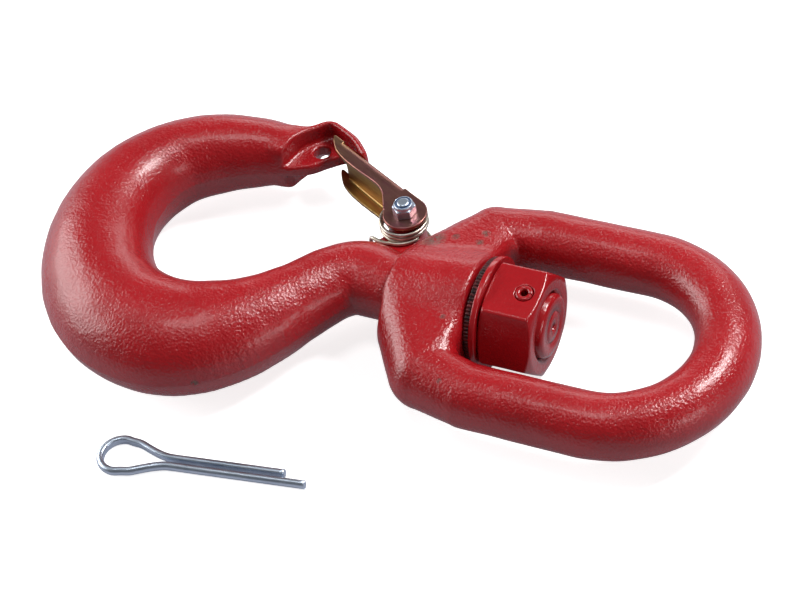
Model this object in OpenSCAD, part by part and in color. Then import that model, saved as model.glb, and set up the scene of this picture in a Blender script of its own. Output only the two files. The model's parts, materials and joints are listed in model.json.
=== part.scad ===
// Swivel lifting hook with a sprung safety latch, a forged bow and a loose cotter pin.
// Millimetres, +Z up, lying flat. The origin is the centre of the bow's round eye.
// +X runs along the swivel axis, away from the hook. The hook's point is on the +Y side.

/* [Bow] */
// Diameter of the round bar of the eye
bar_d = 29.6; // [26:0.2:34]
// Clear width between the bow's legs
eye_w = 68; // [66:1:74]
// Distance from the eye's centre to the collar's outer face
collar_far = 105; // [100:1:112]
// Distance from the eye's centre to the collar's inner face
collar_near = 63.5; // [62:0.5:66]
// Diameter of the collar round the shank
collar_d = 53; // [50:1:56]
// Diameter of the collar's outer end
collar_end_d = 39.5; // [38:0.5:44]

/* [Swivel] */
// Diameter of the hook's shank and of its thread
shank_d = 30; // [28:1:32]
// Radial clearance of the shank in the collar
shank_clear = 0.06; // [0.02:0.01:0.1]
// Thickness of the bearing washer
bearing_washer_t = 2.8; // [2:0.2:3]
// Outside diameter of the bearing washer
bearing_washer_d = 51; // [48:1:53]
// Thickness of the thrust washer
thrust_washer_t = 2.8; // [2:0.2:3]
// Outside diameter of the thrust washer
thrust_washer_d = 52.8; // [51:0.2:53]
// Width across the nut's flats
nut_af = 46; // [44:1:48]
// Height of the nut
nut_h = 25.6; // [24:0.2:28]
// Lean of the nut's upper flat towards the viewer's side, in degrees
nut_lean = 9; // [0:1:30]
// Diameter of the roll pin through the nut
roll_pin_d = 8; // [6:1:8]
// How far the roll pin stands out of the nut's flats
roll_pin_proud = 0.8; // [0:0.1:1]

/* [Hook] */
// Diameter of the neck beside the collar
neck_d = 31; // [31:0.5:33]
// Diameter of the hole through the hook's point
tip_hole_d = 8.6; // [8:0.1:9]
// Thickness of the thin web in the hook's point
tip_web_t = 6.4; // [6:0.2:9]
// Thickness of the rim round the hook's point
tip_rim_t = 27; // [26:0.2:29]

/* [Latch] */
// Length of the latch from its pivot to its point
latch_len = 69.5; // [66:0.5:72]
// Angle of the closed latch from the +X axis, in degrees
latch_angle = 152; // [151:0.5:153]
// Thickness of the latch's sheet
sheet_t = 2; // [1.6:0.2:2.4]
// Gap between the latch's cheeks
latch_gap = 24; // [23:0.5:24.4]
// Lean of the latch's fingers towards each other, in degrees
finger_lean = 1.5; // [0:0.1:2]
// Radius of the latch's round ears
ear_r = 10.6; // [10.2:0.2:11.2]
// Diameter of the latch bolt
bolt_d = 6; // [5:1:6]
// Diameter of the spring's wire
spring_wire = 1.8; // [1.4:0.1:1.8]
// Turns in each half of the spring
spring_turns = 3; // [2:1:3]

/* [Cotter pin] */
// Thickness of the pin's wire in the plane of its eye
pin_wire_t = 3.8; // [3.4:0.1:4]
// Height of the pin's wire
pin_wire_h = 4.4; // [4:0.1:4.8]
// Inside radius of the pin's eye
pin_eye_r = 7; // [6:0.5:8]
// Distance from the eye's centre to the end of the long leg
pin_long = 90; // [84:1:94]
// Distance from the eye's centre to the end of the short leg
pin_short = 79; // [70:1:80]

/* [Hidden] */

red = "firebrick";
zinc = "lightsteelblue";
yellow_zinc = "darkkhaki";

bar_r = bar_d / 2;
leg_y = eye_w / 2 + bar_r;
shank_r = shank_d / 2;
running = 0.2;                                   // axial gap beside a face that turns
touch = 0.02;                                    // gap between parts that are clamped together

// Stack along the shank, from the collar towards the eye
bearing_x = -collar_near + running;
thrust_x = bearing_x + bearing_washer_t + touch;
nut_x = thrust_x + thrust_washer_t + touch;
nut_end_x = nut_x + nut_h;
shank_end_x = nut_end_x + 2.3;
roll_pin_x = nut_x + nut_h * 0.68;

// Hook: the centreline's stations as x, y, half width in the plane and half thickness
neck_r = neck_d / 2;
neck_x = -collar_far - running;
hook_stations = [
    [neck_x, 0, neck_r, neck_r],
    [neck_x - 4.5, 0.2, neck_r + 0.2, neck_r],
    [-116, 2, 17.3, 16.4],
    [-127, 2.6, 18, 17],
    [-138, -5, 17.4, 18.2],
    [-149, -20.5, 18, 20],
    [-160, -35, 21.5, 22],
    [-173, -47, 25.6, 23.8],
    [-190, -56, 28.6, 25.2],
    [-208, -57.7, 29.3, 26.2],
    [-228.6, -51.6, 29, 26.5],
    [-247.8, -35.6, 28, 26],
    [-260.6, -13.6, 26.6, 25.2],
    [-265.4, 9.3, 24.9, 24.5],
    [-261.9, 31.8, 23.2, 23.4],
    [-250.3, 50.3, 21.2, 22],
    [-232.6, 62.2, 19.8, 20.6],
    [-214, 68, 17.4, 18.4],
    [-200, 70.3, 15, 16.2],
    [-188, 72.5, 12, 13.6]
];
steps_per_station = 3;
hook_sides = 28;
belly = 0.1;                                     // how much fuller the section is on the bowl's side

// Plan of the point: its outline, and the pocket that leaves the thin web and the rim
tip_outline = [
    [-202, 75.5], [-190, 80.8], [-184, 85.4], [-181, 86.9], [-178, 87.2], [-174.7, 86.3],
    [-163.3, 80.4], [-157.4, 75.6], [-154, 71.9], [-153, 69.6], [-154.2, 68], [-156.2, 68.7], [-160.2, 71.2],
    [-166, 74.4], [-171, 71.8], [-176.5, 67.4], [-189, 59.7], [-202, 60]
];
tip_pocket = [
    [-190, 40], [-194.8, 52], [-194.6, 58], [-193.2, 63], [-192.3, 67.6], [-188.8, 74.3], [-185, 78.8],
    [-181.8, 82.4], [-178.5, 83.8], [-172.2, 81], [-166.2, 77.8], [-161.3, 73.6], [-157.5, 69.2], [-154, 60],
    [-150, 40]
];
tip_hole = [-180.5, 73];

// Latch pivot and the lug that carries it
pivot = [-117.3, 36];
lug_t = 8;
boss_r = 8.6;
boss_h = latch_gap - running;
bolt_r = bolt_d / 2;
bolt_clear = 0.05;
cheek_z = latch_gap / 2;
latch_back = 10.3;                               // from the pivot to the outside of the latch's back
back_from = 13;
back_to = 61.5;
lean_from = 12;                                  // where the fingers start to lean in
bolt_head_h = 4;
bolt_head_af = 10;
nut6_af = 10;
nut6_h = 4.6;
collar6_h = 2;
bolt_end = cheek_z + sheet_t + nut6_h + collar6_h + 0.4;

// Spring: a loose coil that hangs to one side of its boss
coil_r = boss_r + 1.4 + spring_wire / 2;
coil_shift = [-1.1, -0.5];
coil_pitch = spring_wire + 0.12;
coil_top = cheek_z - 0.15 - spring_wire / 2;
coil_low = coil_top - spring_turns * coil_pitch;
coil_steps = 16;
loop_corner = [-131.2, 24];
leg_reach = 30;
leg_inset = latch_back - sheet_t - spring_wire / 2 - 0.1;

// Cotter pin, lying on the surface that the hook rests on
floor_z = -26.5;
pin_c = [-201, -110.5];
pin_angle = 8.3;
pin_neck = 22;                                   // from the eye's centre to where the legs meet
pin_sides = 12;

// Points on a smooth curve through the rows of a list
function spline_row(a, b, c, d, t) =
    0.5 * (2 * b + (c - a) * t + (2 * a - 5 * b + 4 * c - d) * t * t + (3 * b - a - 3 * c + d) * t * t * t);
function smooth_rows(rows, steps) = let(last = len(rows) - 1) concat(
    [for (i = [0 : last - 1], j = [0 : steps - 1])
        spline_row(rows[max(i - 1, 0)], rows[i], rows[i + 1], rows[min(i + 2, last)], j / steps)],
    [rows[last]]);
function unit(v) = v / norm(v);
function heading(path, i) = unit(path[min(i + 1, len(path) - 1)] - path[max(i - 1, 0)]);

// Faces of a closed tube made of rings of equal length
function tube_faces(rings, sides) = concat(
    [[for (k = [0 : sides - 1]) k]],
    [for (i = [0 : rings - 2], k = [0 : sides - 1])
        [i * sides + k, (i + 1) * sides + k, (i + 1) * sides + (k + 1) % sides]],
    [for (i = [0 : rings - 2], k = [0 : sides - 1])
        [i * sides + k, (i + 1) * sides + (k + 1) % sides, i * sides + (k + 1) % sides]],
    [[for (k = [sides - 1 : -1 : 0]) (rings - 1) * sides + k]]);

// Normals carried along a path without twist
function carried(n, t) = unit(n - (n * t) * t);
function path_normals(path, first) =
    [for (i = 0, n = carried(first, heading(path, 0)); i < len(path);
          i = i + 1, n = i < len(path) ? carried(n, heading(path, i)) : n) n];

// Round wire along a path
module wire(path, d, sides, first) {
    normals = path_normals(path, first);
    points = [for (i = [0 : len(path) - 1], k = [0 : sides - 1])
        let(n = normals[i], b = cross(heading(path, i), n), a = -360 * k / sides)
            path[i] + d / 2 * (n * cos(a) + b * sin(a))];
    polyhedron(points, tube_faces(len(path), sides), convexity = 10);
}

// The swept body of the hook, from the neck round the bowl to the arm
module hook_sweep() {
    rows = smooth_rows(hook_stations, steps_per_station);
    centres = [for (r = rows) [r[0], r[1]]];
    points = [for (i = [0 : len(rows) - 1], k = [0 : hook_sides - 1])
        let(t = i == 0 ? [-1, 0] : heading(centres, i), out = [-t[1], t[0]], a = 360 * k / hook_sides,
            fade = min(i / (3 * steps_per_station), 1), side = rows[i][2] * cos(a),
            rise = rows[i][3] * sin(a) * (1 - belly * fade * cos(a)))
            [rows[i][0] + out[0] * side, rows[i][1] + out[1] * side, rise]];
    polyhedron(points, tube_faces(len(rows), hook_sides), convexity = 10);
}

module slab(outline, thickness) {
    translate([0, 0, -thickness / 2]) linear_extrude(thickness) polygon(outline);
}

// The point: a block with a pocket on each face, which leaves a web and a rim
module tip_block() {
    difference() {
        slab(tip_outline, tip_rim_t);
        for (side = [0, 1]) mirror([0, 0, side])
            translate([0, 0, tip_web_t / 2]) linear_extrude(30) polygon(tip_pocket);
    }
}

module along_x(x0, x1, r) {
    translate([x0, 0, 0]) rotate([0, 90, 0]) cylinder(h = x1 - x0, r = r, $fn = 96);
}

module shank() {
    chamfer = 2;
    along_x(-125, shank_end_x - chamfer, shank_r);
    translate([shank_end_x - chamfer, 0, 0]) rotate([0, 90, 0])
        cylinder(h = chamfer, r1 = shank_r, r2 = shank_r - chamfer, $fn = 96);
}

module lug() {
    translate([pivot[0], pivot[1], -lug_t / 2]) cylinder(h = lug_t, r = boss_r, $fn = 64);
    translate([pivot[0], pivot[1], -boss_h / 2]) cylinder(h = boss_h, r = boss_r, $fn = 64);
    slab([[-133, 8], [-130.4, 21.4], [-126.6, 27.5], [-125.7, 35], [-108.8, 35], [-109.6, 8]], lug_t);
}

module roll_pin_hole(r) {
    translate([roll_pin_x, 0, 0]) rotate([nut_lean, 0, 0])
        cylinder(h = nut_af + 20, r = r, center = true, $fn = 48);
}

module hook_body() {
    centre_drill_d = 3.4;
    color(red) difference() {
        union() {
            difference() {
                hook_sweep();
                for (side = [0, 1]) mirror([0, 0, side])
                    translate([0, 0, tip_web_t / 2]) linear_extrude(30) polygon(tip_pocket);
            }
            tip_block();
            shank();
            lug();
        }
        translate([pivot[0], pivot[1], 0])
            cylinder(h = 60, r = bolt_r + bolt_clear, center = true, $fn = 48);
        translate([tip_hole[0], tip_hole[1], 0]) cylinder(h = 40, d = tip_hole_d, center = true, $fn = 48);
        roll_pin_hole(roll_pin_d / 2 + touch);
        along_x(shank_end_x - 7, shank_end_x + 1, centre_drill_d / 2);
    }
}

// Collar of the bow, turned about the swivel axis
module collar() {
    big_r = collar_d / 2;
    end_r = collar_end_d / 2;
    rotate([0, 90, 0]) rotate_extrude($fn = 96) polygon([
        [0, -collar_far], [end_r - 2.5, -collar_far], [end_r, -collar_far + 2.5],
        [big_r - 1.5, -collar_far + 17], [big_r, -collar_far + 24], [big_r, -collar_near - 7],
        [big_r - 0.6, -collar_near - 3], [big_r - 2, -collar_near], [0, -collar_near]]);
}

// One shoulder and leg: from the collar's outer end to the bend, then to the eye
module shoulder() {
    bend_x = -75;
    bend_y = 42.6;
    bend_r = 16.4;
    leg_root_x = -52;
    root_inset = 3;
    root_len = 34;
    hull() {
        translate([-collar_far + root_inset, 0, 0]) rotate([0, 90, 0])
            cylinder(h = root_len, r = collar_end_d / 2, $fn = 32);
        translate([bend_x, bend_y, 0]) sphere(r = bend_r, $fn = 32);
    }
    hull() {
        translate([bend_x, bend_y, 0]) sphere(r = bend_r, $fn = 32);
        translate([leg_root_x, leg_y, 0]) sphere(r = bar_r, $fn = 32);
    }
    translate([0, leg_y, 0]) along_x(leg_root_x, 0, bar_r);
}

module swivel_bow() {
    color(red) difference() {
        union() {
            collar();
            for (side = [0, 1]) mirror([0, side, 0]) shoulder();
            rotate([0, 0, -90]) rotate_extrude(angle = 180, $fn = 128)
                translate([leg_y, 0]) circle(r = bar_r, $fn = 64);
        }
        translate([-collar_near, -eye_w / 2, -40]) cube([collar_near - 4, eye_w, 80]);
        along_x(-collar_far - 5, -collar_near + 5, shank_r + shank_clear);
    }
}

module ring_x(x0, thickness, outer_r, inner_r) {
    difference() {
        along_x(x0, x0 + thickness, outer_r);
        along_x(x0 - 1, x0 + thickness + 1, inner_r);
    }
}

module bearing_washer() {
    color("dimgray") ring_x(bearing_x, bearing_washer_t, bearing_washer_d / 2, shank_r + 0.5);
}

module thrust_washer() {
    color(red) ring_x(thrust_x, thrust_washer_t, thrust_washer_d / 2, shank_r + 0.5);
}

// Hexagon nut, chamfered at both ends, drilled for the roll pin
module swivel_nut() {
    corner_r = nut_af / sqrt(3);
    edge = 2;
    color(red) difference() {
        intersection() {
            translate([nut_x, 0, 0]) rotate([nut_lean, 0, 0]) rotate([0, 90, 0])
                rotate([0, 0, 30]) cylinder(h = nut_h, r = corner_r, $fn = 6);
            rotate([0, 90, 0]) rotate_extrude($fn = 96) polygon([
                [0, nut_x], [nut_af / 2 - 0.5, nut_x], [corner_r + 0.5, nut_x + edge],
                [corner_r + 0.5, nut_end_x - edge], [nut_af / 2 - 0.5, nut_end_x], [0, nut_end_x]]);
        }
        along_x(nut_x - 1, nut_end_x + 1, shank_r + touch);
        translate([nut_end_x - 1, 0, 0]) rotate([0, 90, 0])
            cylinder(h = 1.5, r1 = shank_r, r2 = shank_r + 1.5, $fn = 96);
        roll_pin_hole(roll_pin_d / 2 + touch);
    }
}

// Rolled spring-steel pin, a split tube through nut and shank
module nut_roll_pin() {
    pin_len = nut_af + 2 * roll_pin_proud;
    wall = 2;
    slit = 0.8;
    color(red) translate([roll_pin_x, 0, 0]) rotate([nut_lean, 0, 0]) difference() {
        cylinder(h = pin_len, d = roll_pin_d, center = true, $fn = 48);
        cylinder(h = pin_len + 2, d = roll_pin_d - 2 * wall, center = true, $fn = 48);
        translate([0, -slit / 2, -pin_len]) cube([roll_pin_d, slit, 2 * pin_len]);
    }
}

// Places a shape on the latch: local +X runs to its point, local -Y to its back
module on_latch() {
    translate([pivot[0], pivot[1], 0]) rotate([0, 0, latch_angle]) children();
}

// One cheek: a round ear, then a finger that narrows to the latch's point
module cheek_outline() {
    circle(r = ear_r, $fn = 72);
    polygon([
        [0, -ear_r], [8, -latch_back], [latch_len - 1, -latch_back], [latch_len, -latch_back + 0.8],
        [latch_len - 2.8, -7.2], [latch_len - 7.8, -4.4], [latch_len - 12, -3.2],
        [latch_len - 17, -2.5], [latch_len - 23, -2.2], [39, -2.4], [29, -2.8], [24, -2.5],
        [19, -0.8], [14.5, 2.2], [9.4, 6], [0, 2]]);
}

// Side of the latch's sheet as seen along its width: flat at the ear, then leaning in
module cheek_strip() {
    far = latch_len + 2;
    fall = (far - lean_from) * tan(finger_lean);
    polygon([
        [-2 * ear_r, cheek_z], [lean_from, cheek_z], [far, cheek_z - fall],
        [far, cheek_z - fall + sheet_t], [lean_from, cheek_z + sheet_t], [-2 * ear_r, cheek_z + sheet_t]]);
}

module cheek() {
    intersection() {
        linear_extrude(2 * cheek_z) cheek_outline();
        rotate([90, 0, 0]) linear_extrude(2 * latch_len, center = true) cheek_strip();
    }
}

// The back's edges run along the middle of the fingers' sheet
function back_half(u) = cheek_z + sheet_t / 2 - (u - lean_from) * tan(finger_lean);

module latch() {
    color(yellow_zinc) on_latch() difference() {
        union() {
            for (side = [0, 1]) mirror([0, 0, side]) cheek();
            translate([0, sheet_t - latch_back, 0]) rotate([90, 0, 0]) linear_extrude(sheet_t) polygon([
                [back_from, -back_half(back_from)], [back_to, -back_half(back_to)],
                [back_to, back_half(back_to)], [back_from, back_half(back_from)]]);
        }
        cylinder(h = 60, r = bolt_r + touch, center = true, $fn = 48);
    }
}

module latch_bolt() {
    color(zinc) on_latch() {
        under_head = -cheek_z - sheet_t - touch;
        translate([0, 0, under_head]) cylinder(h = bolt_end - under_head, r = bolt_r, $fn = 48);
        translate([0, 0, under_head - bolt_head_h])
            cylinder(h = bolt_head_h, r = bolt_head_af / sqrt(3), $fn = 6);
    }
}

// Self-locking nut: a hexagon with a round collar that holds the nylon ring
module latch_nut() {
    insert_r = 3.9;
    color(zinc) on_latch() translate([0, 0, cheek_z + sheet_t + touch]) difference() {
        union() {
            intersection() {
                rotate([0, 0, 20]) cylinder(h = nut6_h, r = nut6_af / sqrt(3), $fn = 6);
                rotate_extrude($fn = 64) polygon([
                    [0, 0], [nut6_af / 2 + 0.2, 0], [nut6_af / 2 + 1, 0.8], [nut6_af / 2 + 1, nut6_h - 0.8],
                    [nut6_af / 2, nut6_h], [0, nut6_h]]);
            }
            cylinder(h = nut6_h + collar6_h - 0.6, r = 4.7, $fn = 64);
            translate([0, 0, nut6_h + collar6_h - 0.6]) cylinder(h = 0.6, r1 = 4.7, r2 = 4.2, $fn = 64);
        }
        translate([0, 0, -1]) cylinder(h = 20, r = bolt_r + touch, $fn = 48);
        translate([0, 0, nut6_h]) cylinder(h = 10, r = insert_r, $fn = 48);
    }
}

module latch_nut_insert() {
    color("royalblue") on_latch() translate([0, 0, cheek_z + sheet_t + touch + nut6_h + touch]) difference() {
        cylinder(h = collar6_h - 0.5, r = 3.9 - touch, $fn = 48);
        translate([0, 0, -1]) cylinder(h = 10, r = bolt_r + touch, $fn = 48);
    }
}

// Half of the spring's path: leg on the latch, coil on the boss, then the loop on the hook
function spring_half(side) = let(
        start_a = latch_angle - 90 + 18,
        turns = spring_turns * 360 - 30 - start_a,
        steps = ceil(turns / 360 * coil_steps),
        fall = coil_top - coil_low,
        leg_dir = [cos(latch_angle), sin(latch_angle), 0],
        back_dir = [sin(latch_angle), -cos(latch_angle), 0],
        base = [pivot[0], pivot[1], 0],
        centre = base + [coil_shift[0], coil_shift[1], 0])
    concat(
        [for (u = [leg_reach, 22, 14, 8])
            base + u * leg_dir + leg_inset * back_dir + [0, 0, side * (coil_top - u * tan(finger_lean))]],
        [for (i = [0 : steps]) let(a = start_a + turns * i / steps)
            centre + [coil_r * cos(a), coil_r * sin(a), side * (coil_top - fall * i / steps)]],
        [for (i = [1 : 5]) let(a = -30 - 14 * i, r = coil_r + 0.35 * i)
            centre + [r * cos(a), r * sin(a), side * coil_low]],
        [[-126, 22.8, side * coil_low],
         [loop_corner[0] + 2, loop_corner[1], side * coil_low],
         [loop_corner[0], loop_corner[1], side * (coil_low - 1.6)]]);

module latch_spring() {
    upper = spring_half(1);
    lower = spring_half(-1);
    last = len(lower) - 1;
    path = concat(upper, [for (i = [last : -1 : 0]) lower[i]]);
    color(yellow_zinc) wire(path, spring_wire, 8, [0, 0, 1]);
}

// Path of the pin's wire in its own plane: short leg, eye, long leg
function pin_path() = let(
        leg = pin_wire_t / 2 + 0.08,
        eye = pin_eye_r + pin_wire_t / 2,
        open_a = 68,
        run_in = smooth_rows([
            [34, leg], [pin_neck + 4, leg], [pin_neck, leg + 0.3], [pin_neck - 5, leg + 1.7],
            [pin_neck - 10, leg + 3.7], [pin_neck - 14.5, leg + 5.6],
            [eye * cos(open_a), eye * sin(open_a)]], 2),
        back = len(run_in) - 1)
    concat(
        [[pin_short, leg], [56, leg]],
        run_in,
        [for (a = [open_a + 20 : 20 : 340 - open_a]) [eye * cos(a), eye * sin(a)]],
        [for (i = [back : -1 : 0]) [run_in[i][0], -run_in[i][1]]],
        [[62, -leg], [pin_long, -leg]]);

// Wire of a D section, flat on the inside of the eye and of the legs
module cotter_pin() {
    path = pin_path();
    points = [for (i = [0 : len(path) - 1], k = [0 : pin_sides - 1])
        let(t = heading(path, i), out = [t[1], -t[0]], a = 360 * k / pin_sides,
            flat = max(cos(a), -0.72), side = pin_wire_t / 2 * (flat + 0.14) / 0.93)
            [path[i][0] + out[0] * side, path[i][1] + out[1] * side, pin_wire_h / 2 * sin(a)]];
    color(zinc) translate([pin_c[0], pin_c[1], floor_z + pin_wire_h / 2]) rotate([0, 0, pin_angle])
        polyhedron(points, tube_faces(len(path), pin_sides), convexity = 10);
}

hook_body();
swivel_bow();
bearing_washer();
thrust_washer();
swivel_nut();
nut_roll_pin();
latch();
latch_bolt();
latch_nut();
latch_nut_insert();
latch_spring();
cotter_pin();
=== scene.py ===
import json
import math

import bpy
import numpy as np
from mathutils import Matrix, Vector


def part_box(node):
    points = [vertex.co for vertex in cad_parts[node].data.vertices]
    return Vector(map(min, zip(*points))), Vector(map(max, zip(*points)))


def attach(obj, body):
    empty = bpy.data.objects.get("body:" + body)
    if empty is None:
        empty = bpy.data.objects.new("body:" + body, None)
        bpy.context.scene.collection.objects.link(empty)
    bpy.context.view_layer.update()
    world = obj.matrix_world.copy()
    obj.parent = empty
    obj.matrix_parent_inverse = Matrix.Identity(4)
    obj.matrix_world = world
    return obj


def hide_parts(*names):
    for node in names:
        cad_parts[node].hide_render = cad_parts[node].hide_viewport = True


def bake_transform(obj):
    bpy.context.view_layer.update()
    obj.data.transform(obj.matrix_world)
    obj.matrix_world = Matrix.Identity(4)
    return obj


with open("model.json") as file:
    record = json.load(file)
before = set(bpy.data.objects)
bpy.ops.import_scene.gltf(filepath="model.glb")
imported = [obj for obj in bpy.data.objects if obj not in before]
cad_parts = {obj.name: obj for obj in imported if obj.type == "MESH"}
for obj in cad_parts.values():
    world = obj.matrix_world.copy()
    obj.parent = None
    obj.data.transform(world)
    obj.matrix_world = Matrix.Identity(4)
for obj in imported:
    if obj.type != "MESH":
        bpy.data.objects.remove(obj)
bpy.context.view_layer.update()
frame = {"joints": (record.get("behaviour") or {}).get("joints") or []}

# Every piece is worked out in millimetres and scaled to metres when its mesh is made.
MM = 0.001


def corners_mm(node):
    low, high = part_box(node)
    return np.array(low) / MM, np.array(high) / MM


# ---------------------------------------------------------------- sizes, read from the frame
bow_low, bow_high = corners_mm("swivel_bow")
nut_low, nut_high = corners_mm("swivel_nut")
bearing_low, bearing_high = corners_mm("bearing_washer")
thrust_low, thrust_high = corners_mm("thrust_washer")
hook_low, hook_high = corners_mm("hook_body")
latch_low, latch_high = corners_mm("latch")
bolt_low, bolt_high = corners_mm("latch_bolt")
m6_low, m6_high = corners_mm("latch_nut")
insert_low, insert_high = corners_mm("latch_nut_insert")
pin_low, _ = corners_mm("cotter_pin")
joint_pos = {j["name"]: np.array(j.get("pos_m", (0, 0, 0))) / MM for j in frame["joints"]}

eye_w = 68.0
bar_r = (bow_high[0] - eye_w / 2) / 2
leg_y = eye_w / 2 + bar_r
collar_far = -bow_low[0]
collar_near = -bearing_low[0] + 0.2
collar_r = bow_high[2]
collar_end_r = 19.75
collar_taper = 20.0
shank_r = 15.0
# the painted shank end starts inside the forging, which is cut off at shank_cut_x
shank_cut_x = -66
shank_end_from = -70
shank_end_x = hook_high[0]
nut_af = 46.0
nut_lean = math.radians(9)
roll_pin_r = 4.0
roll_pin_proud = 0.8
roll_pin_x = nut_low[0] + (nut_high[0] - nut_low[0]) * 0.68

pivot = joint_pos["latch_hinge"]
latch_angle = math.radians(152)
sheet_t = 2.0
finger_lean = math.tan(math.radians(1.5))
lean_from = 12.0
cheek_z = latch_high[2] - sheet_t
ear_r = 10.6
latch_len = 69.5
latch_back = 10.3
back_from, back_to = 13.0, 61.5
# metres from the latch's middle plane: the chromate is thin at the first and thick at the second
chromate_depth = (0.0132, 0.0118)
bolt_r = 3.0
boss_r = 8.6
wire_r = 0.9
coil_r = boss_r + 1.4 + wire_r
coil_shift = (-1.1, -0.5)
coil_top = cheek_z - 0.15 - wire_r
coil_low = coil_top - 3 * (2 * wire_r + 0.12)

floor_z = pin_low[2]
tip_hole = np.array([-180.5, 73.0])
tip_hole_r = 4.3
# the dish in the lower pocket's wall: its middle, how far it spreads (mm squared) and how it slopes
dish = (-185.5, 81.0)
dish_spread = 30
dish_slope = 0.55
web_half = 3.2
rim_half = 13.5

# Stations of the hook's centreline: x, y, half width in the plane and half thickness
spine_steps = 6
neck_r = 15.5
neck_x = -collar_far - 0.2
hook_stations = [
    (neck_x, 0, neck_r, neck_r), (neck_x - 4.5, 0.2, neck_r + 0.2, neck_r),
    (-116, 2, 17.3, 16.4), (-127, 2.6, 18, 17), (-138, -5, 17.4, 18.2), (-149, -20.5, 18, 20),
    (-160, -35, 21.5, 22), (-173, -47, 25.6, 23.8), (-190, -56, 28.6, 25.2),
    (-208, -57.7, 29.3, 26.2), (-228.6, -51.6, 29, 26.5), (-247.8, -35.6, 28, 26), (-260.6, -13.6, 26.6, 25.2),
    (-265.4, 9.3, 24.9, 24.5), (-261.9, 31.8, 23.2, 23.4), (-250.3, 50.3, 21.2, 22), (-232.6, 62.2, 19.8, 20.6),
    (-214, 68, 17.4, 18.4), (-200, 70.3, 15, 16.2), (-188, 72.5, 12, 13.6),
]
# Outlines seen from above: the block at the point, the pocket in it, and the lug inside the latch
tip_outline = [
    (-202, 75.5), (-190, 80.8), (-184, 85.4), (-181, 86.9), (-178, 87.2), (-174.7, 86.3),
    (-163.3, 80.4), (-157.4, 75.6), (-154, 71.9), (-153, 69.6), (-154.2, 68), (-156.2, 68.7), (-160.2, 71.2),
    (-166, 74.4), (-171, 71.8), (-176.5, 67.4), (-189, 59.7), (-202, 60),
]
tip_pocket = [
    (-190, 40), (-194.8, 52), (-194.6, 58), (-193.2, 63), (-192.3, 67.6), (-188.8, 74.3), (-185, 78.8),
    (-181.8, 82.4), (-178.5, 83.8), (-172.2, 81), (-166.2, 77.8), (-161.3, 73.6), (-157.5, 69.2), (-154, 60),
    (-150, 40),
]
lug_outline = np.array([
    (-133, 8), (-130.4, 21.4), (-126.6, 27.5), (-125.7, 35), (-124, 40), (-110.6, 40), (-108.8, 35),
    (-109.6, 8),
])


# ---------------------------------------------------------------- distance fields
def soft_min(a, b, r):
    """Union of two distance fields with a fillet of about r."""
    h = np.maximum(r - np.abs(a - b), 0) / r
    return np.minimum(a, b) - h * h * r / 4


def soft_max(a, b, r):
    return -soft_min(-a, -b, r)


def between(x, low, high):
    """Signed distance to the slab from low to high, negative inside."""
    return np.abs(x - (low + high) / 2) - (high - low) / 2


def curve_piece(a, b, c, d, t):
    """Points of a smooth curve from b to c, where a comes before and d after."""
    square = (2 * a - 5 * b + 4 * c - d) * t**2
    cube = (3 * b - a - 3 * c + d) * t**3
    return 0.5 * (2 * b + (c - a) * t + square + cube)


def smooth_rows(rows, steps):
    """Points on a smooth curve through the rows, the same curve as the CAD model's."""
    rows = np.array(rows, float)
    last = len(rows) - 1
    t = (np.arange(steps) / steps)[:, None]
    out = []
    for i in range(last):
        out.append(curve_piece(rows[max(i - 1, 0)], rows[i], rows[i + 1], rows[min(i + 2, last)], t))
    return np.concatenate(out + [rows[last:]])


def closed_curve(points, steps):
    """A smooth closed outline through the points."""
    p = np.array(points, float)
    n = len(p)
    t = (np.arange(steps) / steps)[:, None]
    out = []
    for i in range(n):
        out.append(curve_piece(p[i - 1], p[i], p[(i + 1) % n], p[(i + 2) % n], t))
    return np.concatenate(out)


def outline_field(x, y, outline):
    """Signed distance in the plane to a closed outline, negative inside."""
    nearest = 1e9
    inside = False
    for p, q in zip(outline, np.roll(outline, -1, axis=0)):
        ex, ey = q - p
        px, py = x - p[0], y - p[1]
        t = np.clip((px * ex + py * ey) / (ex * ex + ey * ey), 0, 1)
        nearest = np.minimum(nearest, (px - t * ex) ** 2 + (py - t * ey) ** 2)
        if ey:
            crosses = ((p[1] > y) != (q[1] > y)) & (x < ex * (y - p[1]) / ey + p[0])
            inside = inside ^ crosses
    return np.where(inside, -1, 1) * np.sqrt(nearest)


def cylinder_x(x, y, z, x0, x1, r, edge=0.01):
    return soft_max(np.sqrt(y * y + z * z) - r, between(x, x0, x1), edge)


def cylinder_z(x, y, z, centre, half, r, edge=0.01):
    return soft_max(np.hypot(x - centre[0], y - centre[1]) - r, np.abs(z) - half, edge)


def round_cone(x, y, z, a, b, ra, rb):
    """Hull of two balls, at a with radius ra and at b with radius rb."""
    a, b = np.array(a, float), np.array(b, float)
    axis = b - a
    length = np.linalg.norm(axis)
    axis = axis / length
    px, py, pz = x - a[0], y - a[1], z - a[2]
    along = px * axis[0] + py * axis[1] + pz * axis[2]
    off = np.sqrt(np.maximum(px * px + py * py + pz * pz - along * along, 0))
    slope = (ra - rb) / length
    grade = math.sqrt(1 - slope * slope)
    t = np.clip((along + off * slope / grade) / length, 0, 1)
    return np.sqrt(off * off + (along - t * length) ** 2) - (ra + (rb - ra) * t)


def ripple(x, y, z, height, length, seed):
    """Low waves that make a forged surface slightly uneven."""
    rng = np.random.default_rng(seed)
    total = 0
    for _ in range(7):
        d = rng.normal(size=3)
        d = d / np.linalg.norm(d) * 2 * math.pi / (length * rng.uniform(0.7, 1.6))
        total = total + np.sin(x * d[0] + y * d[1] + z * d[2] + rng.uniform(0, 6.28))
    return height * total / 2.6


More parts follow.
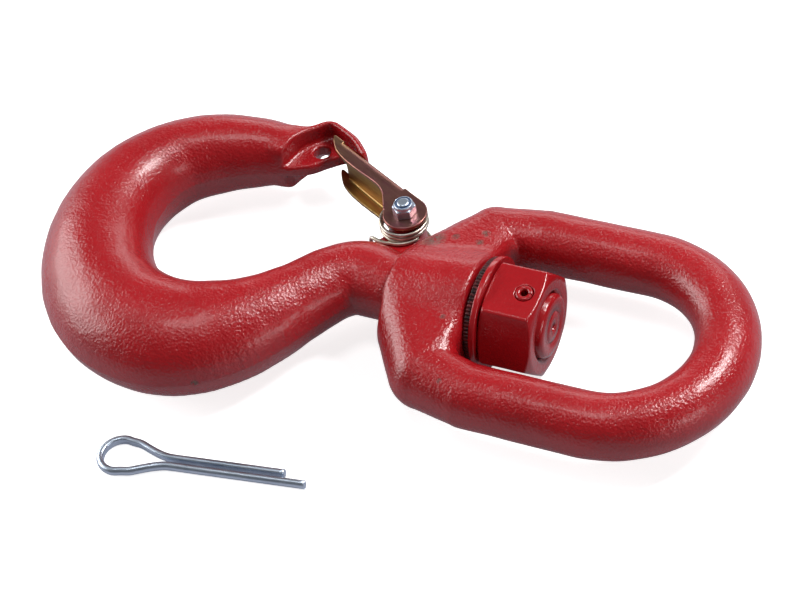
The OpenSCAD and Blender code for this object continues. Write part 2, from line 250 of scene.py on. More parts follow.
# ---------------------------------------------------------------- meshes
def new_object(name, points, faces):
    """A smooth-shaded object from points in millimetres and faces."""
    mesh = bpy.data.meshes.new(name)
    mesh.from_pydata((np.asarray(points, float) * MM).tolist(), [], [list(map(int, f)) for f in faces])
    mesh.validate()
    mesh.polygons.foreach_set("use_smooth", [True] * len(mesh.polygons))
    mesh.update()
    obj = bpy.data.objects.new(name, mesh)
    bpy.context.scene.collection.objects.link(obj)
    return obj


def surface_object(name, field, low, high, step, place=None):
    """A mesh of the surface where field(x, y, z) is zero, on a grid of the given step, moved to its place."""
    low = np.array(low, float) - 2 * step
    axes = [np.arange(a, b + 2.5 * step, step) for a, b in zip(low, high)]
    grid = np.meshgrid(*axes, indexing="ij", sparse=True)
    value = np.array(np.broadcast_to(field(*grid), [len(a) for a in axes]))
    inside = value < 0
    corner = np.array([(i, j, k) for i in (0, 1) for j in (0, 1) for k in (0, 1)])
    spans = [tuple(slice(c, n - 1 + c) for c, n in zip(offset, value.shape)) for offset in corner]
    count = sum(inside[s].astype(np.int8) for s in spans)
    active = (count > 0) & (count < 8)
    index = np.full(active.shape, -1)
    index[active] = np.arange(active.sum())
    cell = np.argwhere(active)
    at = np.stack([value[tuple((cell + c).T)] for c in corner], 1)
    total, hits = np.zeros((len(cell), 3)), np.zeros(len(cell))
    for a in range(8):
        for b in range(a + 1, 8):
            if np.abs(corner[a] - corner[b]).sum() == 1:
                cross = (at[:, a] < 0) != (at[:, b] < 0)
                t = np.where(cross, at[:, a] / np.where(cross, at[:, a] - at[:, b], 1), 0)
                total += cross[:, None] * (corner[a] + t[:, None] * (corner[b] - corner[a]))
                hits += cross
    points = (cell + total / hits[:, None]) * step + low
    points = settle(points, field, step)
    faces = []
    for axis in range(3):
        u, v = (axis + 1) % 3, (axis + 2) % 3
        near, far = [slice(None)] * 3, [slice(None)] * 3
        near[axis], far[axis] = slice(0, -1), slice(1, None)
        change = inside[tuple(near)] != inside[tuple(far)]
        e = np.argwhere(change)
        e = e[(e[:, u] > 0) & (e[:, v] > 0) & (e[:, u] < index.shape[u]) & (e[:, v] < index.shape[v])]
        du, dv = np.eye(3, dtype=int)[u], np.eye(3, dtype=int)[v]
        quad = np.stack([index[tuple(q.T)] for q in (e, e - du, e - du - dv, e - dv)], 1)
        flip = ~inside[tuple(e.T)]
        quad[flip] = quad[flip][:, ::-1]
        faces.append(quad)
    return new_object(name, placed(points, place), np.concatenate(faces))


def placed(points, place):
    """Points moved by a matrix whose shift is in millimetres."""
    points = np.asarray(points, float)
    if place is None:
        return points
    return points @ np.array(place.to_3x3()).T + np.array(place.translation)


def settle(points, field, step):
    """Moves points onto the surface along the field's slope."""
    eps = step * 0.15
    for _ in range(2):
        f = field(*points.T)
        rise = [field(*(points + eps * d).T) - field(*(points - eps * d).T) for d in np.eye(3)]
        slope = np.stack(rise, 1) / (2 * eps)
        move = -slope * (f / np.maximum((slope**2).sum(1), 0.05))[:, None]
        far = np.linalg.norm(move, axis=1) / (0.6 * step)
        points = points + move / np.maximum(far, 1)[:, None]
    return points


def swept_faces(rings, sides, closed_ends=True):
    i, k = np.meshgrid(np.arange(rings - 1), np.arange(sides), indexing="ij")
    n = (k + 1) % sides
    here, ahead = i * sides, (i + 1) * sides
    faces = np.stack([here + k, ahead + k, ahead + n, here + n], -1).reshape(-1, 4).tolist()
    if closed_ends:
        faces += [list(range(sides)), list(range((rings - 1) * sides, rings * sides))[::-1]]
    return faces


def wire_object(name, path, section, first, end_round=0.35):
    """A wire of the given section, a list of (along the normal, along the binormal), along a path."""
    path = np.array(path, float)
    tangent = np.gradient(path, axis=0)
    tangent /= np.linalg.norm(tangent, axis=1)[:, None]
    # the first and last rings are repeated a little smaller and further out, which rounds the ends
    grow = [(2, 1 - end_round), (1, 1 - 0.3 * end_round), (0, 1)]
    rings = [(path[0] - tangent[0] * reach * end_round * 0.3, tangent[0], size) for reach, size in grow]
    rings += [(p, t, 1) for p, t in zip(path[1:-1], tangent[1:-1])]
    rings += [(path[-1] + tangent[-1] * reach * end_round * 0.3, tangent[-1], size)
              for reach, size in grow[::-1]]
    normal = np.array(first, float)
    points = []
    for p, t, size in rings:
        normal = normal - (normal @ t) * t
        normal /= np.linalg.norm(normal)
        other = np.cross(t, normal)
        points += [p + size * (a * normal - b * other) for a, b in section]
    return new_object(name, points, swept_faces(len(rings), len(section)))


def turned_object(name, profile, sides=128, ribs=0, rib_height=0.0):
    """A closed ring or disc, turned about X from a profile of (x, radius), with ribs along its rim."""
    a = np.arange(sides) * 2 * math.pi / sides
    rim = 0.98 * max(r for _, r in profile)
    points = []
    for x, r in profile:
        ribbed = r - rib_height * (r > rim) * (1 - np.abs(np.cos(a * ribs / 2)))
        points += list(np.stack([np.full(sides, x), ribbed * np.cos(a), ribbed * np.sin(a)], 1))
    faces = swept_faces(len(profile), sides, closed_ends=False)
    if profile[0][1] > 0.01 and np.allclose(profile[0], profile[-1]):
        points = points[:-sides]
        wrap = (len(profile) - 1) * sides
        faces = [[v % wrap for v in f] for f in faces]
    return new_object(name, points, faces)


def rounded_profile(corners, r, steps=5):
    """A closed profile with each of its corners rounded to radius r."""
    c = np.array(corners, float)
    out = []
    for i in range(len(c)):
        before, here, after = c[i - 1], c[i], c[(i + 1) % len(c)]
        u = (before - here) / np.linalg.norm(before - here)
        v = (after - here) / np.linalg.norm(after - here)
        reach = min(r, 0.45 * np.linalg.norm(before - here), 0.45 * np.linalg.norm(after - here))
        for t in np.linspace(0, 1, steps):
            out.append(here + reach * ((1 - t) ** 2 * u + t**2 * v))
    return out


# ---------------------------------------------------------------- the hook's forging
spine = smooth_rows(hook_stations, spine_steps)
spine_heading = np.gradient(spine[:, :2], axis=0)
spine_heading[0] = (-1, 0)
spine_heading /= np.linalg.norm(spine_heading, axis=1)[:, None]
tip_curve = closed_curve(tip_outline, 4)
pocket_curve = closed_curve(tip_pocket, 3)


def nearest_on_spine(x, y):
    """At each point: distance across the centreline and beyond it, half width, half thickness, station."""
    shape = np.broadcast(x, y).shape
    best = np.full(shape, 1e9)
    kept = [np.zeros(shape) for _ in range(5)]
    for i in range(len(spine) - 1):
        p, q = spine[i, :2], spine[i + 1, :2]
        e = q - p
        t = np.clip(((x - p[0]) * e[0] + (y - p[1]) * e[1]) / (e @ e), 0, 1)
        cx, cy = x - p[0] - t * e[0], y - p[1] - t * e[1]
        d2 = cx * cx + cy * cy
        nearer = d2 < best
        best = np.where(nearer, d2, best)
        hx = spine_heading[i, 0] * (1 - t) + spine_heading[i + 1, 0] * t
        hy = spine_heading[i, 1] * (1 - t) + spine_heading[i + 1, 1] * t
        across = cy * hx - cx * hy
        beyond = cx * hx + cy * hy
        half = spine[i, 2:] * (1 - t[..., None]) + spine[i + 1, 2:] * t[..., None]
        for k, new in enumerate((across, beyond, half[..., 0], half[..., 1], (i + t) / spine_steps)):
            kept[k] = np.where(nearer, new, kept[k])
    return kept


def hook_field(x, y, z):
    across, beyond, wide, thick, place = nearest_on_spine(x, y)
    fade = np.clip(place / 4, 0, 1)
    c = across / wide
    thick = thick * (1 - 0.1 * fade * np.clip(c, -1, 1))
    k = np.sqrt(c * c + (beyond / wide) ** 2 + (z / thick) ** 2)
    slope = np.sqrt((c / wide) ** 2 + (beyond / wide**2) ** 2 + (z / thick**2) ** 2)
    body = k * (k - 1) / np.maximum(slope, 1e-6)
    # the dies' parting line: a ridge that the trimming left, with a shallow step beside it
    ridge = 0.25 * np.exp(-((z / 0.9) ** 2)) + 0.15 * np.exp(-((z / 3.2) ** 4))
    body = body + fade * (0.5 - ridge)
    block = soft_max(outline_field(x, y, tip_curve) + 0.15, np.abs(z) - rim_half, 4.5)
    body = soft_min(body, block, 3)
    # the lower pocket's wall is dished beside the hole, which leaves the floor in sight through it
    beside = np.exp(-((x - dish[0]) ** 2 + (y - dish[1]) ** 2) / dish_spread)
    draft = dish_slope * beside * np.maximum(-z - web_half, 0)
    cut = soft_max(outline_field(x, y, pocket_curve) - draft, web_half - np.abs(z), 2.5)
    body = soft_max(body, -cut, 1.3)
    body = soft_min(body, soft_max(outline_field(x, y, lug_outline), np.abs(z) - 4, 1.5), 4)
    body = soft_min(body, cylinder_z(x, y, z, pivot, cheek_z - 0.15, boss_r, 0.8), 0.8)
    body = body + ripple(x, y, z, 0.07, 14, 3) * fade
    body = soft_max(body, bolt_r + 0.05 - np.hypot(x - pivot[0], y - pivot[1]), 0.3)
    body = soft_max(body, tip_hole_r - np.hypot(x - tip_hole[0], y - tip_hole[1]), 1.0)
    # past the neck only the shank goes into the collar
    return np.minimum(np.maximum(body, x - neck_x), cylinder_x(x, y, z, -125, shank_cut_x, shank_r - 0.05))


# ---------------------------------------------------------------- the bow's forging
bend = np.array([-75.0, 42.6, 0.0])
bend_r = 16.4
leg_root = np.array([-52.0, leg_y, 0.0])
shoulder_x, shoulder_half = -85.0, 17.0


def collar_field(x, y, z):
    r = np.sqrt(y * y + z * z)
    steep = (collar_r - collar_end_r) / collar_taper
    cone = (r - collar_end_r - steep * (x + collar_far)) / math.sqrt(1 + steep * steep)
    body = soft_max(soft_max(r - collar_r, cone, 12), -collar_far - x, 2.4)
    return soft_max(body, x + collar_near, 3.4)


def shoulder_field(x, y, z):
    """Hull of the collar's outer end and the bend's ball, for the side where y is positive."""
    body = 1e9
    for t in np.linspace(0, 1, 15):
        mid = (1 - t) * shoulder_x + t * bend[0]
        half = (1 - t) * shoulder_half
        r = (1 - t) * (collar_end_r - 0.8) + t * bend_r
        off_x = np.maximum(np.abs(x - mid) - half, 0)
        body = np.minimum(body, np.sqrt(off_x**2 + (y - t * bend[1]) ** 2 + z * z) - r)
    return body


def bow_field(x, y, z):
    side = np.abs(y)
    radial = np.where(x > 0, np.hypot(x, y) - leg_y, side - leg_y)
    end = np.maximum(leg_root[0] - x, 0)
    bar = np.sqrt(radial**2 + z * z + end**2) - bar_r
    body = np.minimum(bar, round_cone(x, side, z, bend, leg_root, bend_r, bar_r))
    body = np.minimum(body, soft_max(shoulder_field(x, side, z), -collar_far - x, 2))
    body = soft_min(body, collar_field(x, y, z), 5)
    window = soft_max(-(x + collar_near), side - eye_w / 2, 7)
    window = soft_max(window, x + 4, 20)
    body = soft_max(body, -window, 4.5)
    body = body + 0.1 + ripple(x, y, z, 0.07, 13, 8)
    bore = np.sqrt(y * y + z * z) - shank_r - 0.06
    return soft_max(body, -soft_max(bore, x + collar_near - 8, 0.1), 0.5)


# ---------------------------------------------------------------- the swivel's nut and roll pin
nut_mid_x = (nut_low[0] + nut_high[0]) / 2
nut_half = (nut_high[0] - nut_low[0]) / 2
nut_place = Matrix.Translation((nut_mid_x, 0, 0)) @ Matrix.Rotation(nut_lean, 4, "X")
pin_at = roll_pin_x - nut_mid_x
roll_pin_end = nut_af / 2 + roll_pin_proud


def hexagon(a, b, across_flats, edge):
    """Distance to a hexagon in the plane, with two flats square to b."""
    side = np.abs(a) * math.sqrt(0.75)
    b = np.abs(b)
    return soft_max(b, side + b / 2, edge) - across_flats / 2


def nut_field(x, y, z):
    r = np.sqrt(y * y + z * z)
    rise = 2.28
    chamfer = (r - nut_af / 2 + 0.9 - rise * (nut_half - np.abs(x))) / math.sqrt(1 + rise * rise)
    body = soft_max(hexagon(y, z, nut_af, 1.0), chamfer, 0.9)
    body = soft_max(body, np.abs(x) - nut_half, 0.5)
    # the flats aren't quite even under the paint
    body = body + ripple(x, y, z, 0.03, 16, 5)
    thread_mouth = shank_r + 0.35 + 1.5 * np.clip(x - nut_half + 1.5, 0, 1.5) / 1.5
    body = soft_max(body, thread_mouth - r, 0.5)
    from_pin = np.hypot(x - pin_at, y)
    return soft_max(body, np.where(np.abs(z) > shank_r, roll_pin_r + 0.3 - from_pin, -1.0), 0.35)


def roll_pin_field(x, y, z):
    r = np.hypot(x - pin_at, y)
    body = soft_max(soft_max(r - roll_pin_r, 1.75 - r, 0.3), np.abs(z) - roll_pin_end, 1.2)
    # paint has closed most of the slit
    slit = np.where(x > pin_at, np.abs(y) - 0.15, 1.0)
    return soft_max(body, -slit, 0.2)


# ---------------------------------------------------------------- the latch, along its own axes
along = Vector((math.cos(latch_angle), math.sin(latch_angle), 0))
latch_place = Matrix.Translation((pivot[0], pivot[1], 0)) @ Matrix.Rotation(latch_angle, 4, "Z")
# front edge of a cheek, from its point to the ear: along the latch, and towards the bowl
front_edge = smooth_rows([
    (latch_len, 0.8 - latch_back), (latch_len - 2.8, -7.2), (latch_len - 7.8, -4.4), (latch_len - 12, -3.2),
    (latch_len - 17, -2.5), (latch_len - 23, -2.2), (39, -2.4), (29, -2.8), (24, -2.5), (19, -0.8),
    (14.5, 2.2), (9.4, 6)], 4)
cheek_edge = np.concatenate([front_edge, [(0, 2), (0, -ear_r), (8, -latch_back), (latch_len - 1, -latch_back)]])


def latch_field(u, v, z):
    """A bent sheet: two cheeks with round ears, joined by a back between back_from and back_to."""
    profile = np.minimum(np.hypot(u, v) - ear_r, outline_field(u, v, cheek_edge))
    side = np.abs(z) + finger_lean * np.maximum(u - lean_from, 0)
    middle = cheek_z + sheet_t / 2
    cheeks = soft_max(profile, np.abs(side - middle) - sheet_t / 2, 0.45)
    span = between(u, back_from, back_to)
    outer = soft_max(-v - latch_back, side - cheek_z - sheet_t, 3.2)
    inner = soft_max(-v - latch_back + sheet_t, side - cheek_z, 1.4)
    cheeks = np.maximum(cheeks, np.minimum(outer, -0.15 * span))
    back = soft_max(np.maximum(outer, -inner), span, 0.5)
    body = np.minimum(cheeks, np.maximum(back, profile))
    return soft_max(body, bolt_r + 0.1 - np.hypot(u, v), 0.2)


m6_flats = 10
m6_turn = math.radians(20)
m6_top = m6_high[2]


def bolt_field(x, y, z):
    """The M6 bolt, with its head under the latch and its thread's last turns inside the nut."""
    r = np.hypot(x, y)
    under = -cheek_z - sheet_t
    crest = np.abs((z - np.arctan2(y, x) / (2 * math.pi)) % 1.0 - 0.5)
    thread = np.where(z > cheek_z, 0.5 * (0.5 - crest), 0.0)
    shaft = soft_max(r - bolt_r + thread, between(z, under, bolt_high[2]), 0.9)
    cone = (r - 5.1 - 1.7 * (z - bolt_low[2])) / 2
    head = soft_max(soft_max(hexagon(x, y, m6_flats, 0.5), between(z, bolt_low[2], under), 0.4), cone, 0.4)
    marked = soft_max(3.1 - r, bolt_low[2] + 0.25 - z, 0.3)
    return np.minimum(soft_max(head, -np.maximum(-marked, z - bolt_low[2] - 0.25), 0.2), shaft)


def m6_nut_field(x, y, z):
    """Self-locking nut: a chamfered hexagon and a round collar, rolled over the nylon ring."""
    a = x * math.cos(m6_turn) + y * math.sin(m6_turn)
    b = y * math.cos(m6_turn) - x * math.sin(m6_turn)
    r = np.hypot(x, y)
    hex_top = insert_low[2]
    cone = (r - 5.0 - 1.7 * np.minimum(z - m6_low[2] + 0.3, hex_top - z + 0.1)) / 2
    flats = hexagon(b, a, m6_flats, 0.5)
    body = soft_max(soft_max(flats, between(z, m6_low[2], hex_top), 0.4), cone, 0.5)
    collar = soft_max(r - 4.7, between(z, m6_low[2], m6_top), 1.5)
    body = soft_min(body, collar, 0.5)
    body = soft_max(body, bolt_r + 0.05 - r, 0.2)
    cup = soft_max(r - 3.95, hex_top - z, 0.2)
    return soft_max(body, -cup, 0.3)


def insert_field(x, y, z):
    r = np.hypot(x, y)
    half = (insert_high[2] - insert_low[2]) / 2
    ring = soft_max(r - 3.85, np.abs(z - insert_low[2] - half) - half, 0.8)
    return soft_max(ring, bolt_r + 0.05 - r, 0.5)


# ---------------------------------------------------------------- spring and cotter pin
def round_section(r, sides=14):
    return [(r * math.cos(a), r * math.sin(a)) for a in np.arange(sides) * 2 * math.pi / sides]


def spring_half(side):
    """Leg on the latch, a loose coil down the boss, then half of the loop that bears on the neck."""
    back = Vector((along.y, -along.x, 0))
    inset = latch_back - sheet_t - wire_r - 0.1
    base = Vector((pivot[0], pivot[1], 0))
    centre = base + Vector((*coil_shift, 0))
    first = latch_angle - math.radians(90 - 18)
    last = math.radians(3 * 360 - 30)
    rows = [base + along * u + back * inset + Vector((0, 0, side * (coil_top - u * finger_lean)))
            for u in (30, 26, 22, 18, 14, 11, 8)]

    def on_coil(a, r, z):
        rows.append(centre + Vector((r * math.cos(a), r * math.sin(a), side * z)))

    steps = 120
    for i in range(steps + 1):
        on_coil(first + (last - first) * i / steps, coil_r, coil_top + (coil_low - coil_top) * i / steps)
    # the last part turn opens out and runs to the loop's corner
    for i in range(1, 16):
        on_coil(math.radians(-30 - 14 * i / 3), coil_r + 0.35 * i / 3, coil_low)
    rows += [Vector((x, y, side * coil_low))
             for x, y in ((-123, 22.4), (-126, 22.8), (-128, 23.4), (-129.8, 23.9))]
    rows += [Vector((-130.8, 24, side * (coil_low - 0.4))), Vector((-131.2, 24, side * (coil_low - 1.6))),
             Vector((-131.2, 24, 0))]
    return [tuple(r) for r in rows]


pin_t, pin_h = 3.8, 4.4
pin_eye_r, pin_neck = 7.0, 22.0
pin_long, pin_short = 90.0, 79.0
pin_centre = (-201, -110.5)
pin_turn = math.radians(8.3)


def pin_path():
    """The pin's wire in its own plane: short leg, eye, long leg."""
    leg = pin_t / 2 + 0.08
    eye = pin_eye_r + pin_t / 2
    opening = math.radians(68)
    run = [(34, leg), (pin_neck + 4, leg), (pin_neck, leg + 0.3), (pin_neck - 5, leg + 1.7),
           (pin_neck - 10, leg + 3.7), (pin_neck - 14.5, leg + 5.6),
           (eye * math.cos(opening), eye * math.sin(opening))]
    arc = [(eye * math.cos(a), eye * math.sin(a)) for a in np.radians(np.arange(88, 273, 20))]
    back_run = [(x, -y) for x, y in run[::-1]]
    rows = [(pin_short, leg), (56, leg)] + run + arc + back_run + [(62, -leg), (pin_long, -leg)]
    rows = smooth_rows(rows, 7)
    return np.column_stack([rows, np.zeros(len(rows))])


def pin_section(sides=28):
    """A D section, flat on the inside of the eye and of the legs."""
    out = []
    flat_at = -0.72
    for a in np.arange(sides) * 2 * math.pi / sides:
        flat = max(math.cos(a), flat_at)
        height = pin_h / 2 * math.sin(a) * (0.93 if flat <= flat_at else 1)
        out.append((-pin_t / 2 * 0.95 * (flat + 0.14) / 0.93, height))
    return out


# ---------------------------------------------------------------- materials
def material(name):
    mat = bpy.data.materials.new(name)
    mat.use_nodes = True
    tree = mat.node_tree
    shader = next(n for n in tree.nodes if n.type == "BSDF_PRINCIPLED")
    return mat, tree, shader


def feed(tree, socket, value):
    """Gives a socket its value, or links it to another node's socket."""
    if isinstance(value, bpy.types.NodeSocket):
        tree.links.new(value, socket)
    else:
        socket.default_value = value


def node(tree, kind, settings=None, **inputs):
    """A shader node. An input is a value or another node's socket, and _ stands for a space in its name."""
    n = tree.nodes.new(kind)
    for key, value in (settings or {}).items():
        setattr(n, key, value)
    for key, value in inputs.items():
        feed(tree, n.inputs[key.replace("_", " ")], value)
    return n


def noise(tree, place, scale, detail=3.0, rough=0.55, distort=0.0):
    n = node(tree, "ShaderNodeTexNoise", Vector=place, Scale=scale, Detail=detail, Roughness=rough,
             Distortion=distort)
    return n.outputs["Fac"]


def ramp(tree, value, *stops):
    """A colour or grey ramp. Each stop is (place, colour)."""
    n = tree.nodes.new("ShaderNodeValToRGB")
    while len(n.color_ramp.elements) < len(stops):
        n.color_ramp.elements.new(0.5)
    for e, (at, colour) in zip(n.color_ramp.elements, stops):
        e.position = at
        e.color = (*colour, 1) if isinstance(colour, tuple) else (colour, colour, colour, 1)
    tree.links.new(value, n.inputs[0])
    return n.outputs[0]


def mix_colour(tree, amount, a, b):
    """Colour a turning into colour b. A Mix node's colour sockets are 6, 7 and, going out, 2."""
    n = tree.nodes.new("ShaderNodeMix")
    n.data_type, n.blend_type = "RGBA", "MIX"
    for socket, value in ((n.inputs[0], amount), (n.inputs[6], a), (n.inputs[7], b)):
        feed(tree, socket, (*value, 1) if isinstance(value, tuple) else value)
    return n.outputs[2]


def maths(tree, how, a, b=0.0, clamp=False):
    n = tree.nodes.new("ShaderNodeMath")
    n.operation, n.use_clamp = how, clamp
    for socket, value in ((n.inputs[0], a), (n.inputs[1], b)):
        feed(tree, socket, value)
    return n.outputs[0]


def bump(tree, height, distance, under=None):
    n = node(tree, "ShaderNodeBump", Height=height, Distance=distance, Strength=1.0)
    if under is not None:
        tree.links.new(under, n.inputs["Normal"])
    return n.outputs[0]


def near(tree, place, centre_mm, radius_mm, soft_mm):
    """1 close to a point of the frame, falling to 0 past a radius."""
    away = node(tree, "ShaderNodeVectorMath", {"operation": "DISTANCE"})
    tree.links.new(place, away.inputs[0])
    away.inputs[1].default_value = [c * MM for c in centre_mm]
    n = node(tree, "ShaderNodeMapRange", {"interpolation_type": "SMOOTHSTEP"},
             From_Min=(radius_mm + soft_mm) * MM, From_Max=(radius_mm - soft_mm) * MM)
    tree.links.new(away.outputs["Value"], n.inputs["Value"])
    return n.outputs[0]


def red_enamel(name="red_enamel", chips=(), rough_forging=1.0):
    """Gloss red paint over a forging: fine leathery grain, low waves, and chips given as (place, radius)."""
    mat, tree, shader = material(name)
    place = node(tree, "ShaderNodeTexCoord").outputs["Object"]
    fine = noise(tree, place, 420, 5, 0.62)
    colour = ramp(tree, noise(tree, place, 30, 3, 0.5), (0.3, (0.3, 0.005, 0.008)), (0.7, (0.36, 0.007, 0.011)))
    colour = mix_colour(tree, ramp(tree, fine, (0.35, 0.0), (0.7, 0.22)), colour, (0.2, 0.003, 0.005))
    torn = ramp(tree, noise(tree, place, 620, 5, 0.7), (0.42, 0.0), (0.55, 1.0))
    chip = 0.0
    for centre, radius in chips:
        patch = near(tree, place, centre, radius, radius * 0.6)
        chip = maths(tree, "MAXIMUM", chip, maths(tree, "MULTIPLY", patch, torn))
    rust = ramp(tree, noise(tree, place, 900, 4, 0.6), (0.3, (0.05, 0.024, 0.018)), (0.7, (0.22, 0.11, 0.08)))
    colour = mix_colour(tree, chip, colour, rust)
    tree.links.new(colour, shader.inputs["Base Color"])
    dull = ramp(tree, noise(tree, place, 45, 2, 0.5), (0.3, 0.19), (0.7, 0.24))
    dull = maths(tree, "ADD", dull, maths(tree, "MULTIPLY", chip, 0.4), clamp=True)
    tree.links.new(dull, shader.inputs["Roughness"])
    shader.inputs["Coat Weight"].default_value = 0.2
    shader.inputs["Coat Roughness"].default_value = 0.12
    shader.inputs["IOR"].default_value = 1.52
    waves = bump(tree, noise(tree, place, 120, 2, 0.5), 0.0003 * rough_forging)
    leather = node(tree, "ShaderNodeTexVoronoi", {"feature": "SMOOTH_F1"}, Vector=place, Scale=780.0,
                   Smoothness=0.6, Randomness=1.0)
    peel = bump(tree, leather.outputs["Distance"], 0.00022 * rough_forging, under=waves)
    grain = bump(tree, noise(tree, place, 1100, 3, 0.6, 0.5), 0.00022 * rough_forging, under=peel)
    pits = bump(tree, maths(tree, "SUBTRACT", 1.0, chip), 0.0004, under=grain)
    tree.links.new(pits, shader.inputs["Normal"])
    return mat


def zinc(name, tint, warm, turn=0.0, inner=None):
    """Electroplated zinc: a metal with drawn scratches along one way, and soft blotches of its rainbow."""
    mat, tree, shader = material(name)
    place = node(tree, "ShaderNodeTexCoord").outputs["Object"]
    drawn = node(tree, "ShaderNodeMapping", {"vector_type": "TEXTURE"}, Vector=place, Rotation=(0, 0, turn),
                 Scale=(16, 1, 1))
    lines = noise(tree, drawn.outputs[0], 1500, 4, 0.65)
    wide_lines = noise(tree, drawn.outputs[0], 320, 3, 0.6)
    blotch = noise(tree, place, 80, 4, 0.6, 0.8)
    halves = [maths(tree, "MULTIPLY", part, 0.5) for part in (blotch, wide_lines)]
    colour = ramp(tree, maths(tree, "ADD", *halves), (0.38, tint), (0.52, warm), (0.66, tint))
    if inner is not None:
        # the chromate lies thicker, and yellower, inside the channel
        apart = node(tree, "ShaderNodeSeparateXYZ", Vector=place)
        depth = node(tree, "ShaderNodeMapRange", {"interpolation_type": "SMOOTHSTEP"},
                     From_Min=chromate_depth[0], From_Max=chromate_depth[1])
        tree.links.new(maths(tree, "ABSOLUTE", apart.outputs["Z"]), depth.inputs["Value"])
        thick = ramp(tree, wide_lines, (0.3, inner[0]), (0.7, inner[1]))
        colour = mix_colour(tree, depth.outputs[0], colour, thick)
    colour = mix_colour(tree, maths(tree, "MULTIPLY", lines, 0.3), colour, tuple(c * 0.7 for c in tint))
    tree.links.new(colour, shader.inputs["Base Color"])
    shader.inputs["Metallic"].default_value = 1.0
    tree.links.new(ramp(tree, lines, (0.3, 0.3), (0.7, 0.42)), shader.inputs["Roughness"])
    under = bump(tree, lines, 0.00004)
    tree.links.new(bump(tree, noise(tree, place, 240, 3, 0.5), 0.00012, under=under), shader.inputs["Normal"])
    return mat


def nylon(name):
    mat, tree, shader = material(name)
    place = node(tree, "ShaderNodeTexCoord").outputs["Object"]
    colour = ramp(tree, noise(tree, place, 900, 3), (0.3, (0.07, 0.11, 0.22)), (0.7, (0.11, 0.16, 0.28)))
    tree.links.new(colour, shader.inputs["Base Color"])
    shader.inputs["Roughness"].default_value = 0.45
    shader.inputs["Subsurface Weight"].default_value = 0.1
    shader.inputs["Subsurface Radius"].default_value = (0.001, 0.001, 0.001)
    tree.links.new(bump(tree, noise(tree, place, 2500, 3), 0.00005), shader.inputs["Normal"])
    return mat


def dark_steel(name):
    """Bearing washer coloured near black, with traces of red overspray."""
    mat, tree, shader = material(name)
    place = node(tree, "ShaderNodeTexCoord").outputs["Object"]
    spray = ramp(tree, noise(tree, place, 380, 5, 0.65), (0.42, 0.0), (0.6, 1.0))
    colour = mix_colour(tree, spray, (0.02, 0.012, 0.012), (0.12, 0.01, 0.012))
    tree.links.new(colour, shader.inputs["Base Color"])
    tree.links.new(ramp(tree, spray, (0.0, 0.3), (1.0, 0.5)), shader.inputs["Roughness"])
    shader.inputs["Metallic"].default_value = 0.4
    tree.links.new(bump(tree, noise(tree, place, 700, 4), 0.0003), shader.inputs["Normal"])
    return mat


def put(obj, mat, body, slot, *stands_for):
    """Gives a piece its material and body, and hides the CAD nodes that it stands for; slot is not used."""
    obj.data.materials.clear()
    obj.data.materials.append(mat)
    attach(obj, body)
    if stands_for:
        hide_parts(*stands_for)


# ---------------------------------------------------------------- the pieces
# Chips in the paint, as (place, radius): the rust patch on the bow first, and the hook's one last
paint_chips = (
    ((-96, 21, 16), 5.2), ((-86, 25, 18), 1.6), ((-73.5, 31, 17.5), 1.8), ((-74, 24.5, 18), 1.7),
    ((-72, -23, 18), 1.1), ((-61, -54.5, 13), 1.0), ((-173, -79, 0.5), 1.5),
)
enamel = red_enamel(chips=paint_chips)
machined_enamel = red_enamel("red_enamel_machined", rough_forging=0.35)
bright = zinc("bright_zinc", (0.44, 0.52, 0.63), (0.57, 0.64, 0.74), pin_turn)
yellow = zinc("yellow_zinc", (0.3, 0.105, 0.12), (0.33, 0.155, 0.12), latch_angle,
              inner=((0.34, 0.18, 0.08), (0.5, 0.36, 0.11)))
spring_zinc = zinc("spring_zinc", (0.5, 0.46, 0.43), (0.6, 0.54, 0.44))
washer_steel = dark_steel("dark_steel")

coarse = 1.0
forged_hook = surface_object("forged_hook", hook_field, hook_low, (shank_cut_x, hook_high[1], hook_high[2]),
                             0.95 * coarse)
put(forged_hook, enamel, "hook", "red_enamel", "hook_body")
forged_bow = surface_object("forged_bow", bow_field, bow_low, bow_high, 0.9 * coarse)
put(forged_bow, enamel, "bow", "red_enamel", "swivel_bow")

# the end's face has a shallow ring in it and a centre drilling
shank_end = [
    (shank_end_from, 0.001), (shank_end_from, shank_r - 0.02), (shank_end_x - 1.6, shank_r - 0.02),
    (shank_end_x - 0.4, shank_r - 1), (shank_end_x, shank_r - 2.2), (shank_end_x, 8.2),
    (shank_end_x - 0.5, 7.9), (shank_end_x - 0.5, 7.2), (shank_end_x, 6.8), (shank_end_x, 2.2),
    (shank_end_x - 0.5, 1.7), (shank_end_x - 5, 1.6), (shank_end_x - 5, 0.001),
]
put(turned_object("shank_end", shank_end), machined_enamel, "hook", "red_enamel")


def washer(name, low, high, mat, slot, **ribs):
    profile = rounded_profile([(low[0], shank_r + 0.5), (low[0], high[2]), (high[0], high[2]),
                               (high[0], shank_r + 0.5)], 0.7)
    profile.append(profile[0])
    put(turned_object(name + "_turned", profile, 720, **ribs), mat, "hook", slot, name)


washer("bearing_washer", bearing_low, bearing_high, washer_steel, "dark_steel", ribs=90, rib_height=0.7)
washer("thrust_washer", thrust_low, thrust_high, machined_enamel, "red_enamel")
corner = nut_af / math.sqrt(3)
put(surface_object("hex_nut", nut_field, (-nut_half, -corner, -nut_af / 2), (nut_half, corner, nut_af / 2),
                   0.5 * coarse, nut_place), machined_enamel, "hook", "red_enamel", "swivel_nut")
put(surface_object("roll_pin", roll_pin_field, (pin_at - roll_pin_r, -roll_pin_r, -roll_pin_end),
                   (pin_at + roll_pin_r, roll_pin_r, roll_pin_end), 0.28 * coarse, nut_place),
    machined_enamel, "hook", "red_enamel", "nut_roll_pin")

